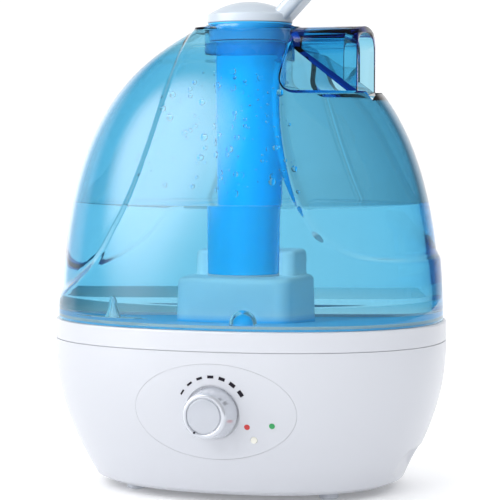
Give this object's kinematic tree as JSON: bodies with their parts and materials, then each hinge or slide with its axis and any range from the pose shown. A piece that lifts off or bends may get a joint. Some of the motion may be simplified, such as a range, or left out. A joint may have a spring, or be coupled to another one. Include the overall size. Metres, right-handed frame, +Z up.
{
  "type": "cool mist humidifier",
  "caption": "Ultrasonic cool mist humidifier: white base with dial, clear blue lift-off water tank with carrying handle, filler cap with valve, and swivel mist nozzle.",
  "frame": {"origin": "on the surface it stands on, under the middle of the body", "axes": "+Z up, the knob faces -Y, the carrying handle is at +X and the filler cap at -X"},
  "size_m": [0.22, 0.1801, 0.28],
  "materials": {
    "white_plastic": "satin white moulded ABS",
    "inner_white_plastic": "plain moulded polypropylene",
    "tank_blue": "clear light blue moulded tank",
    "tube_azure": "clear bright blue moulded plastic",
    "knob_grey": "pearl grey, glossy",
    "print_charcoal": "printed mark",
    "print_red": "printed dot",
    "print_green": "printed dot",
    "led_clear": "milky light pipe",
    "rubber": "soft rubber",
    "seal_rubber": "translucent silicone",
    "black_plastic": "black moulded plastic",
    "board_green": "solder-masked circuit board",
    "steel": "zinc plated steel",
    "aluminium": "extruded",
    "brass": "plain brass",
    "copper": "enamelled copper wire",
    "wire_red": "wire insulation"
  },
  "bodies": {
    "base": {"lower_housing": "white_plastic", "upper_housing": "white_plastic", "housing_seal": "seal_rubber", "bottom_cover": "white_plastic", "intake_grille": "white_plastic", "foot_front_left": "rubber", "foot_front_right": "rubber", "foot_rear_left": "rubber", "foot_rear_right": "rubber", "cover_screws": "steel", "control_panel": "white_plastic", "scale_dashes": "print_charcoal", "indicator_dot_red": "print_red", "indicator_dot_green": "print_green", "led_lens": "led_clear", "indicator_led": "led_clear", "control_board": "board_green", "potentiometer": "steel", "potentiometer_nut": "brass", "driver_board": "board_green", "board_screws": "steel", "heat_sink": "aluminium", "power_transistor": "black_plastic", "capacitors": "black_plastic", "inductor": "copper", "transducer_wires": "wire_red", "reed_switch": "led_clear", "dc_jack": "black_plastic", "jack_pin": "steel", "transducer_disc": "brass", "transducer_seal": "rubber", "transducer_clamp": "steel", "clamp_screws": "steel", "fan_housing": "black_plastic", "fan_motor": "steel", "fan_screws": "steel", "air_duct": "inner_white_plastic", "float_post": "inner_white_plastic", "valve_pin": "inner_white_plastic"},
    "knob": {"knob": "knob_grey", "knob_face": "knob_grey", "knob_pointer": "print_charcoal", "knob_shaft": "steel"},
    "impeller": {"fan_impeller": "black_plastic"},
    "float": {"float_ring": "inner_white_plastic", "float_magnet": "black_plastic"},
    "tank": {"tank_shell": "tank_blue", "tank_collar": "tank_blue", "tank_bottom": "inner_white_plastic", "tank_gasket": "seal_rubber", "mist_tube": "tube_azure", "tube_seal": "seal_rubber", "float_dome": "tube_azure"},
    "cap": {"tank_cap": "inner_white_plastic", "cap_gasket": "seal_rubber", "valve_spring": "steel"},
    "valve": {"valve_plunger": "inner_white_plastic", "valve_seal": "rubber"},
    "nozzle_ring": {"nozzle_collar": "white_plastic"},
    "nozzle": {"nozzle_head": "white_plastic"}
  },
  "joints": [
    {"name": "knob_turn", "type": "hinge", "parent": "base", "child": "knob", "pos_m": [0.004, -0.0804, 0.0506], "axis": [0, 1, 0], "range_deg": [0, 300]},
    {"name": "fan_spin", "type": "hinge", "parent": "base", "child": "impeller", "pos_m": [0.04, 0.014, 0.01], "axis": [0, 0, 1], "continuous": true},
    {"name": "float_rise", "type": "slide", "parent": "base", "child": "float", "axis": [0, 0, 1], "range_m": [0, 0.006]},
    {"name": "tank_lift", "type": "slide", "parent": "base", "child": "tank", "axis": [0, 0, 1], "range_m": [0, 0.08]},
    {"name": "cap_turn", "type": "hinge", "parent": "tank", "child": "cap", "pos_m": [-0.066, 0, 0.08], "axis": [0, 0, 1], "range_deg": [0, 90]},
    {"name": "valve_slide", "type": "slide", "parent": "cap", "child": "valve", "axis": [0, 0, 1], "range_m": [-0.003, 0], "deforming": ["valve_spring"]},
    {"name": "nozzle_lift", "type": "slide", "parent": "tank", "child": "nozzle_ring", "axis": [0, 0, 1], "range_m": [0, 0.03]},
    {"name": "nozzle_swivel", "type": "hinge", "parent": "nozzle_ring", "child": "nozzle", "pos_m": [0, 0, 0.2576], "axis": [0, 0, 1], "continuous": true}
  ],
  "couplings": [
    {"joint": "valve_slide", "follows": "tank_lift", "ratio": -0.0375}
  ]
}
